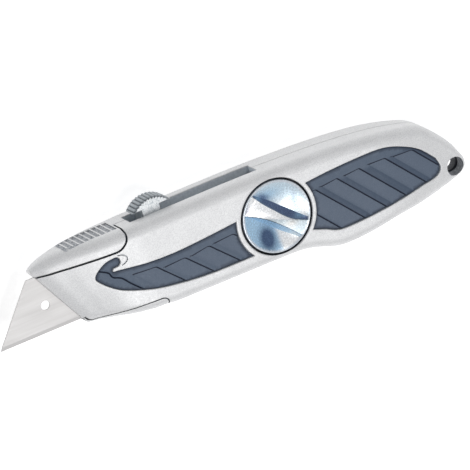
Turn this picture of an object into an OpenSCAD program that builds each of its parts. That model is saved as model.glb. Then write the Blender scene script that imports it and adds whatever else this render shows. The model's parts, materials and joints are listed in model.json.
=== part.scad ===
// Retractable utility knife with a clamped two-part casing.
// It lies on its far side: the blade points to -X, the slider button to +Y,
// and the clamp knob faces +Z. Shapes are drawn about the knob's axis, with
// z = 0 on the joint between the two casing halves, and placed by place().

/* [Casing] */
// Thickness of the closed casing
casing_t = 19; // [19:0.1:19.6]
// Radius of the casing's long edges
edge_r = 3.8; // [3.2:0.1:4]
// Gap between the two casing halves
seam = 0.12; // [0.1:0.02:0.2]
// Width of the shut lines round the nose cap and the bottom lip
shut_line = 0.45; // [0.35:0.05:0.6]
// Wall left between the casing's inside and its outer side
wall = 2.6; // [2.4:0.1:2.8]

/* [Grips] */
// How far the grips lie below the casing's side
grip_sunk = 0.25; // [0.15:0.05:0.35]
// Depth of the grip pockets
pocket_deep = 1.4; // [1.3:0.05:1.5]
// Depth of the grip pads at their deep edge
pad_deep = 0.5; // [0.3:0.05:0.6]

/* [Blade] */
// Length of the cutting edge
blade_l = 61; // [60:0.1:62]
// Height from the cutting edge to the spine
blade_h = 19; // [18.7:0.1:19]
// Blade thickness
blade_t = 0.6; // [0.5:0.05:0.65]
// Width of the ground bevel
bevel_w = 1.3; // [1:0.1:1.6]

/* [Slider] */
// Travel of the blade carrier
travel = 31; // [28:0.5:31]
// Width of the slot in the casing's top
slot_w = 6.6; // [6.6:0.1:6.8]
// Width of the slider button
button_w = 6.2; // [6:0.1:6.2]
// How far the button goes down when it is pressed
press = 1; // [0.8:0.1:1]
// Number of thumb grooves round the button
button_grooves = 12; // [9:1:13]

/* [Clamp knob] */
// Radius of the knob
knob_r = 11.9; // [11.4:0.1:12]
// Radius of the recess round the knob
recess_r = 12.6; // [12.4:0.1:12.8]
// Radius of the threaded stud
stud_r = 3; // [2.8:0.1:3]
// How far the knob unscrews before its clip stops it
unscrew = 5; // [4:0.5:5]

/* [Lanyard hole] */
// Radius of the lanyard hole
lanyard_r = 3; // [2.6:0.1:3.2]

/* [Hidden] */
$fn = 64;
half = casing_t / 2;
eps = 0.01;

// Ends of the whole knife, from the knob's axis
tip_x = -98.1;
butt_x = 69.9;
low_y = -18.8;
button_top = 20.2;

// Butt of the casing, which is round about the lanyard hole
butt_c = [65.5, -9.65];
butt_r = butt_x - butt_c[0];

// Side outline of the casing, blade end first
top_line = [[-84, 10.6], [-82.3, 12], [-80.4, 13.1], [-75.3, 14.5], [-69, 15],
    [-40, 15.05], [-5, 15], [15, 14.3], [30, 13.25], [41.6, 11.8], [50, 10.1],
    [56, 8.2], [60.6, 4.5], [66.8, -2.6], [69.3, -7.4]];
low_line = [[-84, -11.6], [-67, -12.5], [-58.4, -13.3], [-48.8, -13.9], [-42, -14.1],
    [-39, -14.5], [1, -14.8], [6, -15], [11, -15.9], [16, -17.6], [20, -18.65],
    [24, low_y], [31, -18.4], [41, -17], [51.6, -16.2], [62.2, -14.8], [66.2, -14]];
// Half thickness along the casing at its top, as a share of half
thickness = [[-84, 0.12], [-81.6, 0.21], [-77.7, 0.4], [-73.2, 0.53], [-68.7, 0.66],
    [-59.5, 0.87], [-50, 0.97], [-45, 1], [38, 1], [45, 0.94], [50, 0.86],
    [55, 0.75], [60, 0.64], [65.5, 0.515], [70, 0.45]];
// The front edge leans back below this height, by this much per millimetre
lean_y = 9.2;
lean = 0.635;
lean_from = -45;
lean_full = -81;

// Nose cap and bottom lip, which belong to the far casing
cap_y = 9.65;
cap_x = -50.8;
cap_r = 4.5;
lip_y = -10.75;
lip_x = -42.3;
lip_r = 2.4;

// Blade and carrier
blade_spine = 9;
blade_edge = blade_spine - blade_h;
blade_slant = 14.2;
notch_gap = 6.6;
hole_x = 18.5;
hole_y = 8.9;
hole_r = 1.55;
channel = 0.15;
carrier_x = [-56.8, -37.5];
tower_x = [-44, -32];
tower_y = [5.8, 11.9];
tower_z = 3.95;
carrier_z = [-3.9, -0.35];
socket_y = 6.6;
stem_x = [-41.6, -34.4];
stem_low = 8.2;
pin_y = 10.2;
pin_r = 0.8;
inner_top = 12.2;
slot_x = [-46, -0.2];

// Slider button
button_c = -38;
button_half = 6.2;
button_base = 16.7;
dome_rise = button_top - button_base;
dome_r = (pow(button_half, 2) + pow(dome_rise, 2)) / (2 * dome_rise);

// Clamp knob, from the recess floor up
recess_z = 5.7;
inner_z = 4.3;
washer_t = 0.4;
knob_z = [recess_z + washer_t, half + 0.1];
stud_top = knob_z[0] + 1;
boss_r = 5.1;
boss_top = -2.6;
clip_t = 0.8;
clip_z = inner_z - unscrew - clip_t - 0.05;
insert_r = 4;
clearance = 0.05;

// Spare blades
spare_count = 5;
spare_x = -2.5;
spare_y = -12.5;
spare_top = spare_y + blade_h;
spare_z = -3.75;
spare_pitch = 0.61;

// ---- Helpers ----

// Moves a shape from the knob's axis to the part's own frame
module place() {
    translate([-(tip_x + butt_x) / 2, -(low_y + button_top) / 2, half]) children();
}
module block(lo, hi) {
    translate(lo) cube(hi - lo);
}
module prism(z0, z1) {
    translate([0, 0, z0]) linear_extrude(z1 - z0) children();
}
module rod(r, z0, z1) {
    translate([0, 0, z0]) cylinder(r = r, h = z1 - z0);
}

// Smooth curve through points whose first coordinate rises
function piece(p, x, i = 0) =
    i >= len(p) - 2 || x < p[i + 1][0] ? i : piece(p, x, i + 1);
function gradient(p, i) = let (a = max(i - 1, 0), b = min(i + 1, len(p) - 1))
    (p[b][1] - p[a][1]) / (p[b][0] - p[a][0]);
function along(p, x) = let (i = piece(p, x), d = p[i + 1][0] - p[i][0],
    t = (x - p[i][0]) / d)
    p[i][1] * (1 - t) * (1 - t) * (1 + 2 * t) + p[i + 1][1] * t * t * (3 - 2 * t)
    + d * t * (1 - t) * (gradient(p, i) * (1 - t) - gradient(p, i + 1) * t);

// Smooth path through any points, with steps points on each stretch
function bend(p, i, t) = let (n = len(p) - 1, a = p[max(i - 1, 0)], b = p[i],
    c = p[i + 1], d = p[min(i + 2, n)])
    b + t * (c - a) / 2 + t * t * (2 * a - 5 * b + 4 * c - d) / 2
    + t * t * t * (3 * b - a - 3 * c + d) / 2;
function smooth(p, steps = 4) = concat(
    [for (i = [0 : len(p) - 2], k = [0 : steps - 1]) bend(p, i, k / steps)],
    [p[len(p) - 1]]);
function arc(c, r, a0, a1, n = 12) =
    [for (i = [0 : n]) let (a = a0 + (a1 - a0) * i / n) c + r * [cos(a), sin(a)]];

// ---- Outer shape of the casing ----

function butt_rise(x) = sqrt(max(pow(butt_r, 2) - pow(x - butt_c[0], 2), 0.01));
function top_y(x) = x > 69.1 ? butt_c[1] + butt_rise(x) : along(top_line, x);
function low_line_y(x) = x > 66 ? butt_c[1] - butt_rise(x) : along(low_line, x);
function round_off(x) = let (r = 2.6, d = max(r - (butt_x - x), 0))
    r - sqrt(max(r * r - d * d, 0.04));
function side_z(x) = half * lookup(x, thickness) - round_off(x);
// Share of the full lean at a station
function lean_at(s) =
    min(max((lean_from - s) / (lean_from - lean_full), 0), 1) * lean;
// Side height along the line y = 0, allowing for the lean
function side_mid(x) = let (k = lean * lean_y / (lean_from - lean_full))
    side_z(x < lean_from ? (x - k * lean_from) / (1 - k) : x);

// Stations: close together at the nose, the belly and the butt
stations = concat([-84, -82.3, -80.4, -78, -75.3, -72], [for (x = [-69 : 6 : -45]) x],
    [-42, -39, -5, 2, 6, 11, 16, 20, 24, 31, 38, 45, 50, 54, 58, 62, 65.5],
    [67.5, 68.8, 69.5, 69.8]);
arc_steps = 4;

// Near side of one station, top to bottom, as [y, z]
function side_of(s, inset) = let (t = top_y(s) - inset, b = low_line_y(s) + inset,
    h = side_z(s) - inset, r = min(edge_r, 0.85 * h, 0.45 * (t - b)),
    m = 0.02 * (t - b), knee = min(max(lean_y, b + r + m), t - r - m))
    concat([for (i = [0 : arc_steps]) let (a = 90 * i / arc_steps)
            [t - r + r * cos(a), h - r + r * sin(a)]],
        [[knee, h]],
        [for (i = [0 : arc_steps]) let (a = 90 * i / arc_steps)
            [b + r - r * sin(a), h - r + r * cos(a)]]);
// One station of a half that starts at height z0 above the joint
function ring(s, inset, z0) = let (side = side_of(s, inset), n = len(side))
    [for (p = concat([[side[0][0], z0]], side, [[side[n - 1][0], z0]]))
        [s + lean_at(s) * max(0, lean_y - p[0]), p[0], p[1]]];

// The near half of the casing as one solid, with its front still uncut
module half_loft(inset = 0, z0 = 0) {
    n = 2 * arc_steps + 5;
    last = len(stations) - 1;
    points = [for (s = stations) each ring(s, inset, z0)];
    skin = [for (k = [0 : last - 1], i = [0 : n - 1]) let (j = (i + 1) % n,
        a = k * n + i, b = k * n + j, c = a + n, d = b + n)
        each [[a, d, b], [a, c, d]]];
    front = [for (i = [1 : n - 2]) [0, i, i + 1]];
    back = [for (i = [1 : n - 2]) [last * n, last * n + i + 1, last * n + i]];
    polyhedron(points, concat(skin, front, back));
}
// Everything ahead of the casing's front edge
module front_waste() {
    beak = smooth([[-79.6, 13.9], [-81.2, 13.1], [-82.2, 12], [-82, 10.6], [-81, lean_y]], 3);
    corner = smooth([[-69.2, -9.4], [-68.2, -11], [-66.8, -12.1], [-64.8, -12.7]], 3);
    prism(-half - 1, half + 1)
        polygon(concat([[-79.6, 25], [-90, 25], [-90, -25], [-64.8, -25]],
            [for (i = [len(corner) - 1 : -1 : 0]) corner[i]],
            [for (i = [len(beak) - 1 : -1 : 0]) beak[i]]));
}

// ---- Outlines of the nose cap and the bottom lip ----

module cap_outline(grow = 0) {
    y = cap_y - grow;
    polygon(concat([[-90, 25], [-90, y]],
        arc([cap_x - cap_r, cap_y + cap_r], cap_r + grow, -90, 0), [[cap_x + grow, 25]]));
}
module lip_outline(grow = 0) {
    y = lip_y + grow;
    polygon(concat([[-75, -25], [-75, -9.6 + grow], [-69.2, -9.6 + grow]],
        arc([-66.6 + grow, y + lip_r], lip_r, 200, 270, 4),
        arc([lip_x - lip_r, lip_y - lip_r], lip_r + grow, 90, 0), [[lip_x + grow, -25]]));
}

// ---- Inside of the casing ----

// Outline of the hollow, seen from the side
module hollow_outline() {
    margin = 2.2;
    low = [for (x = concat([-57.3, -42, -39, 2], [for (x = [7 : 4 : 55]) x], [58.8]))
        [x, low_line_y(x) + margin]];
    high = [for (x = [58.8, 56, 52, 46, 40, 32, 24, 16, 8]) [x, min(top_y(x), 12.9) - margin]];
    polygon(concat(low, high, [[6, inner_top], [-57.3, inner_top]]));
}
// Everything nearer the joint than the casing's wall, seen from the top
module inside_wall(thick) {
    stops = [-84, -76, -70, -62, -56, -50, -45, 38, 45, 50, 55, 60, 66];
    rotate([90, 0, 0])
        prism(-30, 30)
        polygon(concat([for (x = stops) [x, side_mid(x) - thick]], [[66, -1], [-84, -1]]));
}
// Hollow on the near side of the joint
module hollow() {
    intersection() {
        prism(-1, half) hollow_outline();
        inside_wall(wall);
    }
}
// Room for the blade where it leaves the nose
module blade_channel() {
    block([-90, blade_edge - 0.4, -blade_t / 2 - channel],
        [-56, blade_spine + 0.25, blade_t / 2 + channel]);
}
// Room for the carrier's tongue beside the blade
module tongue_channel() {
    block([-73, 3.4, -1.9], [-56, blade_spine + 0.45, 0]);
}
// Serrations across the nose cap
module nose_serrations() {
    pitch = 2.15;
    for (i = [0 : 9])
        translate([-72.6 + pitch * i, 15.35, 0])
            rotate([0, 0, 8]) cylinder(r = 0.75, h = 7.6, center = true, $fn = 24);
}
module top_slot() {
    block([slot_x[0], 10, -slot_w / 2], [slot_x[1], 25, slot_w / 2]);
}
module lanyard_bore() {
    translate([butt_c[0], butt_c[1], 0]) {
        rod(lanyard_r, -half - 1, half + 1);
        for (side = [-1, 1])
            scale([1, 1, side]) translate([0, 0, side_z(butt_c[0]) - 0.6])
                cylinder(r1 = lanyard_r, r2 = lanyard_r + 1.4, h = 1.4);
    }
}

// ---- Grips ----

module front_grip_outline() {
    lobe = smooth([[-54.7, 5.9], [-55, 7.4], [-56.4, 7.9], [-59.4, 7.3], [-62, 5.6],
        [-63.5, 3.6], [-63, 1.8], [-59.2, -1.6], [-54.5, -4.1], [-45, -6.9],
        [-35, -8.5], [-25, -9.3], [-11.2, -9.4]], 3);
    round_knob = arc([0, 0], 14.2, 222, 165, 10);
    upper = smooth([[-14, 3.6], [-25, 2.7], [-36, 2.1], [-46, 2.4], [-55.5, 3.4],
        [-57.6, 3.6], [-57.5, 4.5], [-55.6, 4.9], [-54.7, 5.9]], 3);
    polygon(concat(lobe, round_knob, upper));
}
module rear_grip_outline() {
    round_knob = arc([0, 0], 14, 29, -39.5, 12);
    lower = smooth([[15.2, -10.5], [20.3, -12.5], [30, -12.4], [40, -11.5],
        [50.7, -10.3], [57.5, -9.6], [59.8, -7.4], [58.8, -3.8]], 3);
    upper = smooth([[58.8, -3.8], [53.6, 1.6], [47, 5.4], [40, 7.6], [30, 7.8],
        [20, 7.4], [12.3, 6.7]], 3);
    polygon(concat(round_knob, lower, upper));
}
module pocket() {
    difference() {
        prism(0, half + 1) children();
        inside_wall(pocket_deep);
    }
}
// Pads: left and right end of the top edge, then how far the pad runs down
front_pads = [[[-52.2, 0.6], [-45.1, 0]], [[-41.4, -1], [-35, -0.9]],
    [[-31.4, -1], [-26.2, -0.3]], [[-22.9, 0], [-17.4, 0.3]]];
rear_pads = [[[8.5, 3.4], [14.7, 3.4]], [[17.1, 3.6], [22.7, 4.1]],
    [[25.5, 4], [31, 4.3]], [[34.3, 4.4], [40, 4]], [[43.3, 3.5], [50.1, 2.6]]];
pad_run = [16, -17.2];
// A slab that dips from the pad's left edge to full depth at its right edge
module pad_cut(pad) {
    top = pad[1] - pad[0];
    run_l = norm(pad_run);
    run = pad_run / run_l;
    width = run[0] * top[1] - run[1] * top[0];
    shear = run * top;
    middle = pad[0] + pad_run / 2;
    x = middle[0] + top[0] / 2;
    slope = (side_mid(x + 3) - side_mid(x - 3)) / 6;
    translate([middle[0], middle[1], side_mid(x) - slope * top[0] / 2 - grip_sunk])
        rotate([0, -atan(slope), 0])
        rotate([0, 0, atan2(run[1], run[0])])
        rotate([-atan(pad_deep / width), 0, 0])
        prism(0, 3)
        polygon([[-run_l / 2, 0], [run_l / 2, 0], [run_l / 2 + shear, width],
            [-run_l / 2 + shear, width]]);
}
module grip(pads) {
    difference() {
        intersection() {
            half_loft(grip_sunk);
            prism(0, half + 1) offset(delta = -0.12) children();
        }
        inside_wall(pocket_deep - 0.05);
        for (pad = pads) pad_cut(pad);
    }
}
module front_grip() {
    grip(front_pads) front_grip_outline();
}
module rear_grip() {
    grip(rear_pads) rear_grip_outline();
}

// ---- Casing halves ----

module common_cuts() {
    for (side = [-1, 1])
        scale([1, 1, side]) {
            pocket() front_grip_outline();
            pocket() rear_grip_outline();
        }
    front_waste();
    blade_channel();
    top_slot();
    lanyard_bore();
}
module far_casing() {
    rails = [[-8, -6.5], [2.5, 4]];
    color("lightgray") place() {
        difference() {
            union() {
                mirror([0, 0, 1]) half_loft(0, seam / 2);
                intersection() {
                    half_loft(0, -seam / 2 - 0.02);
                    prism(-seam, half + 1) {
                        cap_outline();
                        lip_outline();
                    }
                }
            }
            mirror([0, 0, 1]) difference() {
                hollow();
                rod(boss_r, -boss_top, half);
                for (y = rails)
                    block([-58, y[0], -carrier_z[0] + 0.08], [-7, y[1], half]);
            }
            rod(insert_r, boss_top - 4.4, half);
            tongue_channel();
            nose_serrations();
            common_cuts();
        }
    }
}
module near_casing() {
    color("gainsboro") place() {
        difference() {
            half_loft(0, seam / 2);
            prism(-1, half + 1) {
                cap_outline(shut_line);
                lip_outline(shut_line);
            }
            difference() {
                hollow();
                rod(recess_r + 1.2, inner_z, half);
                for (x = [-52, -26, -16])
                    block([x, -13, blade_t / 2 + channel], [x + 1.4, 4, half]);
            }
            rod(recess_r, recess_z, half + 1);
            rod(stud_r + 0.4, 0, half);
            common_cuts();
        }
    }
}
module far_front_grip() {
    color("slategray") place() mirror([0, 0, 1]) front_grip();
}
module far_rear_grip() {
    color("slategray") place() mirror([0, 0, 1]) rear_grip();
}
module near_front_grip() {
    color("slategray") place() front_grip();
}
module near_rear_grip() {
    color("slategray") place() rear_grip();
}

// ---- Clamp knob and its screw ----

// The bar that the fingers turn, between the two scoops
module finger_bar() {
    upper = smooth([[-6.6, 10], [-3.4, 5.8], [0, 2.2], [3.6, -1.4], [7.4, -3.8], [12.4, -5.8]], 4);
    lower = smooth([[8.2, -11], [3, -5.6], [0, -2.8], [-3.4, 0], [-7, 2.2], [-12, 4.6]], 4);
    polygon(concat(upper, lower));
}
module clamp_knob() {
    scoop_r = 22;
    scoop_deep = 2;
    color("lightsteelblue") place() difference() {
        union() {
            rod(knob_r, knob_z[0], knob_z[1] - 0.6);
            translate([0, 0, knob_z[1] - 0.6]) cylinder(r1 = knob_r, r2 = knob_r - 0.6, h = 0.6);
        }
        difference() {
            translate([0, 0, knob_z[1] - scoop_deep + scoop_r]) sphere(r = scoop_r, $fn = 96);
            prism(0, half + 2) finger_bar();
        }
        rod(stud_r, 0, stud_top);
    }
}
module knob_stud() {
    color("silver") place() difference() {
        union() {
            rod(stud_r, -6.2, stud_top);
            translate([0, 0, -6.9]) cylinder(r1 = stud_r - 0.7, r2 = stud_r, h = 0.7);
        }
        difference() {
            rod(stud_r + 1, clip_z, clip_z + clip_t);
            rod(stud_r - 0.7, clip_z - 1, clip_z + clip_t + 1);
        }
    }
}
module knob_washer() {
    color("dimgray") place() difference() {
        rod(7.5, recess_z + 0.03, knob_z[0] - 0.03);
        rod(stud_r + clearance, recess_z - 1, knob_z[0] + 1);
    }
}
module knob_clip() {
    mouth = 0.9 * stud_r;
    color("darkgray") place() difference() {
        rod(5, clip_z + 0.04, clip_z + clip_t - 0.04);
        rod(stud_r - 0.65, clip_z - 1, clip_z + clip_t + 1);
        block([-mouth / 2, -6, clip_z - 1], [mouth / 2, 0, clip_z + clip_t + 1]);
    }
}
module threaded_insert() {
    color("goldenrod") place() difference() {
        rod(insert_r, boss_top - 4.4, boss_top);
        rod(stud_r + clearance, boss_top - 6, boss_top + 1);
    }
}

// ---- Blades ----

// Flat trapezium blade with its edge along y = 0 and one end at x = 0
module blade_plate() {
    middle = blade_l / 2;
    difference() {
        prism(-blade_t / 2, blade_t / 2)
            polygon([[0, 0], [blade_l, 0], [blade_l - blade_slant, blade_h], [blade_slant, blade_h]]);
        for (x = [middle - notch_gap / 2, middle + notch_gap / 2])
            translate([x, blade_h, 0]) {
                rod(1.3, -1, 1);
                block([-1.3, 0, -1], [1.3, 1, 1]);
            }
        for (x = [hole_x, blade_l - hole_x])
            translate([x, hole_y, 0]) rod(hole_r, -1, 1);
        for (side = [-1, 1])
            scale([1, 1, side])
                rotate([90, 0, 90])
                prism(-1, blade_l + 1)
                polygon([[-1, 1], [-1, -0.05], [0, 0.02], [bevel_w, blade_t / 2], [bevel_w, 1]]);
    }
}
module blade() {
    color("white") place() translate([tip_x, blade_edge, 0]) blade_plate();
}
module spare_blade(i) {
    color("white") place()
        translate([spare_x, spare_y, spare_z + blade_t / 2 + spare_pitch * (i - 1)])
        blade_plate();
}

// ---- Blade carrier and slider button ----

module blade_carrier() {
    nub_x = tip_x + blade_l / 2;
    color("gray") place() difference() {
        union() {
            block([carrier_x[0], -9.5, carrier_z[0]], [carrier_x[1], 9, carrier_z[1]]);
            block([-72, 4, -1.6], [carrier_x[0] + eps, blade_spine + 0.2, carrier_z[1]]);
            block([tower_x[0], tower_y[0], -tower_z], [tower_x[1], tower_y[1], tower_z]);
            block([tower_x[1] - eps, 6.4, carrier_z[0]], [-24, 10.8, carrier_z[1]]);
            for (x = [nub_x - notch_gap / 2, nub_x + notch_gap / 2])
                translate([x, blade_spine, 0]) rod(1.1, carrier_z[1] - eps, blade_t / 2);
        }
        block([stem_x[0] - 0.2, socket_y, -button_w / 2 - 0.1],
            [stem_x[1] + 0.2, 15, button_w / 2 + 0.1]);
        block([-75, blade_spine + 0.2, -1], [-56, 12, 1]);
        translate([button_c, pin_y, 0]) rod(pin_r, -half, half);
        translate([-50, -2, 0]) rod(2.5, carrier_z[1] - 1.6, 1);
    }
}
module blade_magnet() {
    color("dimgray") place() translate([-50, -2, 0])
        rod(2.5, carrier_z[1] - 1.6, carrier_z[1] - 0.02);
}
module button_profile() {
    first = 36;
    step = (180 - 2 * first) / (button_grooves - 1);
    difference() {
        union() {
            intersection() {
                translate([button_c, button_top - dome_r]) circle(r = dome_r);
                translate([button_c - button_half, button_base - 0.2])
                    square([2 * button_half, dome_rise + 1]);
            }
            translate([stem_x[0], stem_low])
                square([stem_x[1] - stem_x[0], button_base - stem_low + 1]);
        }
        for (i = [0 : button_grooves - 1])
            let (a = first + step * i)
            translate([button_c + (dome_r + 0.2) * cos(a), button_top - dome_r + (dome_r + 0.2) * sin(a)])
                circle(r = 0.55, $fn = 20);
        hull()
            for (y = [pin_y, pin_y + press])
                translate([button_c, y]) circle(r = pin_r + 0.1, $fn = 24);
    }
}
module slider_button() {
    color("darkgray") place() prism(-button_w / 2, button_w / 2) button_profile();
}
module button_spring() {
    bow = stem_low - socket_y - 0.1;
    t = 0.35;
    outer = smooth([[-3.3, 0], [-1.6, 0.75 * bow], [0, bow], [1.6, 0.75 * bow], [3.3, 0]], 3);
    color("silver") place() translate([button_c, socket_y + 0.03, 0])
        prism(-2, 2)
        polygon(concat([for (p = outer) p],
            [for (i = [len(outer) - 1 : -1 : 0]) [outer[i][0] * 0.86, max(outer[i][1] - t, 0)]]));
}
module button_pin() {
    color("silver") place() translate([button_c, pin_y, 0]) rod(pin_r, -tower_z, tower_z);
}

// ---- Spare blade store ----

module spare_tray() {
    floor_z = spare_z - 0.9;
    color("darkslategray") place() difference() {
        union() {
            prism(floor_z, spare_z - 0.02)
                polygon([
                    [4.6, spare_y + 0.1],
                    [52, spare_y + 0.1],
                    [40.8, spare_top + 1],
                    [15.6, spare_top + 1],
                ]);
            for (x = [14, 25, 36])
                block([x, -11, -half + wall + 0.05], [x + 1.2, 4.6, floor_z + eps]);
            for (x = [18, 36])
                block([x, spare_top + 0.1, floor_z], [x + 3, spare_top + 1, -0.5]);
        }
        rod(boss_r + 0.3, -half, 0);
        block([24.7, spare_top - 0.1, -half], [33.3, spare_top + 2, 0]);
    }
}
module spare_clip() {
    strap_z = spare_z + spare_pitch * spare_count + 0.06;
    t = 0.35;
    x = [25, 33];
    low = spare_y - 0.1;
    high = spare_top + 0.1;
    color("silver") place() {
        block([x[0], low - t, strap_z], [x[1], high + t, strap_z + t]);
        block([x[0], low - t, spare_z - 2.5], [x[1], low, strap_z + eps]);
        block([x[0], high, spare_z - 2.5], [x[1], high + t, strap_z + eps]);
    }
}

far_casing();
near_casing();
far_front_grip();
far_rear_grip();
near_front_grip();
near_rear_grip();
clamp_knob();
knob_stud();
knob_washer();
knob_clip();
threaded_insert();
blade();
blade_carrier();
blade_magnet();
slider_button();
button_spring();
button_pin();
spare_tray();
spare_clip();
spare_blade(1);  // spare_blade_1
spare_blade(2);  // spare_blade_2
spare_blade(3);  // spare_blade_3
spare_blade(4);  // spare_blade_4
spare_blade(5);  // spare_blade_5
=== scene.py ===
"""Utility knife: the finished look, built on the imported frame.

Shapes are drawn in millimetres about the clamp knob's axis, with z = 0 on the joint between
the casing halves, and place() moves them into the frame. +X runs to the butt, +Y to the slider
button and +Z out of the knob side.
"""
import json
from math import asin, copysign, cos, exp, hypot, pi, radians, sin, sqrt, tan

import bmesh
import bpy
from mathutils import Matrix, Vector
from mathutils.geometry import delaunay_2d_cdt

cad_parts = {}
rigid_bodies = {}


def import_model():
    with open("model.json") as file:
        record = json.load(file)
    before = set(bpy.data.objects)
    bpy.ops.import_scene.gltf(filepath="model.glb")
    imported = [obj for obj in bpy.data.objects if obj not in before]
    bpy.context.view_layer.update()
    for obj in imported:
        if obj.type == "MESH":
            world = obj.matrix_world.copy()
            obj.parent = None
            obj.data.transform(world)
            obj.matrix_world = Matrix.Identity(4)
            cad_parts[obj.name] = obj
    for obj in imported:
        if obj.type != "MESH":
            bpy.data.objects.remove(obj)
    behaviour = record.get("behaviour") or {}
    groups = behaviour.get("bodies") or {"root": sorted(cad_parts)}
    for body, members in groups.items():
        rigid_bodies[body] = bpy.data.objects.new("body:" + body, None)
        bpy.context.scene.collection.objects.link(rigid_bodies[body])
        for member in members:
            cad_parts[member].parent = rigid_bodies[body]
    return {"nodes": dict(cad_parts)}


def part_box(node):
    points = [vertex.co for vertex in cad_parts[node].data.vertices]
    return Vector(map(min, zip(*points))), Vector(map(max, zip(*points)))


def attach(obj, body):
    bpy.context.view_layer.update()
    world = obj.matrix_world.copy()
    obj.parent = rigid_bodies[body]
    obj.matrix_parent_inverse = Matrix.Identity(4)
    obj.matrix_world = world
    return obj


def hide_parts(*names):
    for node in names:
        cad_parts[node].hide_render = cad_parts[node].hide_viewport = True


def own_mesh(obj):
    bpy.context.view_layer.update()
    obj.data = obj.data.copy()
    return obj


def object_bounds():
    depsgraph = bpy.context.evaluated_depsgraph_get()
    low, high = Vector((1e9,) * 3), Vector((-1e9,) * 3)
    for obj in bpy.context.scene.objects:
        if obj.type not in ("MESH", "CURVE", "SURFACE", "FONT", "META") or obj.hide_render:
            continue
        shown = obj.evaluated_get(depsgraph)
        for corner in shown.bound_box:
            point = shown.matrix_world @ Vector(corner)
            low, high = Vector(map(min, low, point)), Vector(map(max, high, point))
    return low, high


for leftover in list(bpy.data.objects):
    bpy.data.objects.remove(leftover)
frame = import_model()
CAD_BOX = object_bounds()
MM = 0.001

# ---- places

KNOB_LOW, KNOB_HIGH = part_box("clamp_knob")
CASING_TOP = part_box("near_casing")[1][2]
GROUND = CAD_BOX[0][2]
HALF = (CASING_TOP - GROUND) / 2 / MM  # the thickness of one casing half
ORIGIN = Vector(((KNOB_LOW[0] + KNOB_HIGH[0]) / 2, (KNOB_LOW[1] + KNOB_HIGH[1]) / 2,
                 GROUND + HALF * MM))


def place(p):
    """A point in millimetres about the knob's axis, in the frame's metres."""
    return ORIGIN + Vector(p) * MM


# ---- the casing's form

EDGE_R = 3.8  # the rounding along the top and bottom edges
SEAM, SEAM_BEVEL = 0.12, 0.16  # the line between the halves
SHARP = 0.002  # a bevel too small to see
WALL = 2.6
BUTT, BUTT_R = Vector((65.5, -9.65)), 4.4  # the round end, about the lanyard hole
BUTT_X = BUTT.x + BUTT_R
BUTT_TOP_X, BUTT_LOW_X, BUTT_EDGE = 69.1, 66.0, 2.6

# In front of LEAN_FROM the sections lean back below LEAN_Y, fully so at LEAN_FULL.
LEAN, LEAN_Y, LEAN_FROM, LEAN_FULL = 0.635, 9.2, -45.0, -81.0

# The nose's cap and lower lip belong to the far half, and shut lines part them from the near half.
CAP_Y, CAP_X, CAP_R = 9.65, -50.8, 4.5
LIP_Y, LIP_X, LIP_R = -10.75, -42.3, 2.4
LIP_START_X, LIP_START_Y = -75.0, -9.6
CAP_GAP, LIP_GAP, SHUT_EDGE, SHADE_DEPTH = 0.58, 0.3, 0.14, 1.3
CLEAR_X, CLEAR_Y = -90, 25  # well outside the casing

RECESS_R, RECESS_Z, INNER_Z = 12.6, 5.7, 4.3
NOTCH_FROM, NOTCH_REACH = -70.4, 4.3
GRIP_SUNK = 0.25

# The casing's upper and lower outline (x, y), and its share of the full half thickness (x, share).
TOP_LINE = [(-84, 10.6), (-82.3, 12), (-80.4, 13.1), (-75.3, 14.5), (-69, 15), (-40, 15.05),
            (-5, 15), (15, 14.3), (30, 13.25), (41.6, 11.8), (50, 10.1), (56, 8.2), (60.6, 4.5),
            (66.8, -2.6), (69.3, -7.4)]
LOW_LINE = [(-84, -11.6), (-67, -12.5), (-58.4, -13.3), (-48.8, -13.9), (-42, -14.1),
            (-39, -14.5), (1, -14.8), (6, -15), (11, -15.9), (16, -17.6), (20, -18.65),
            (24, -18.8), (31, -18.4), (41, -17), (51.6, -16.2), (62.2, -14.8), (66.2, -14)]
THICKNESS = [(-84, 0.12), (-81.6, 0.21), (-77.7, 0.4), (-73.2, 0.53), (-68.7, 0.66),
             (-59.5, 0.87), (-50, 0.97), (-45, 1), (38, 1), (45, 0.94), (50, 0.86), (55, 0.75),
             (60, 0.64), (65.5, 0.515), (70, 0.45)]


def gradient(line, i):
    a, b = line[max(i - 1, 0)], line[min(i + 1, len(line) - 1)]
    return (b[1] - a[1]) / (b[0] - a[0])


def along(line, x):
    """A smooth curve through points whose first coordinate rises."""
    i = 0
    while i < len(line) - 2 and x >= line[i + 1][0]:
        i += 1
    d = line[i + 1][0] - line[i][0]
    t = (x - line[i][0]) / d
    u = 1 - t
    return (line[i][1] * u * u * (1 + 2 * t) + line[i + 1][1] * t * t * (3 - 2 * t)
            + d * t * u * (gradient(line, i) * u - gradient(line, i + 1) * t))


def butt_rise(x):
    return sqrt(max(BUTT_R ** 2 - (x - BUTT.x) ** 2, 0.01))


def top_y(x):
    return BUTT.y + butt_rise(x) if x > BUTT_TOP_X else along(TOP_LINE, x)


def low_y(x):
    return BUTT.y - butt_rise(x) if x > BUTT_LOW_X else along(LOW_LINE, x)


def side_z(x):
    """Height of the flat of the casing's side, rounded off at the butt."""
    d = max(BUTT_EDGE - (BUTT_X - x), 0)
    share = min(along(THICKNESS, x), 1)
    return HALF * share - BUTT_EDGE + sqrt(max(BUTT_EDGE * BUTT_EDGE - d * d, 0.04))


def lean_at(s):
    """How far a station's section moves back for each millimetre below LEAN_Y."""
    return min(max((LEAN_FROM - s) / (LEAN_FROM - LEAN_FULL), 0), 1) * LEAN


def station_of(x, y):
    """The station whose section passes through a point of the side view."""
    s = x
    for _ in range(12):
        s = x - lean_at(s) * max(0, LEAN_Y - y)
    return s


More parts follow.
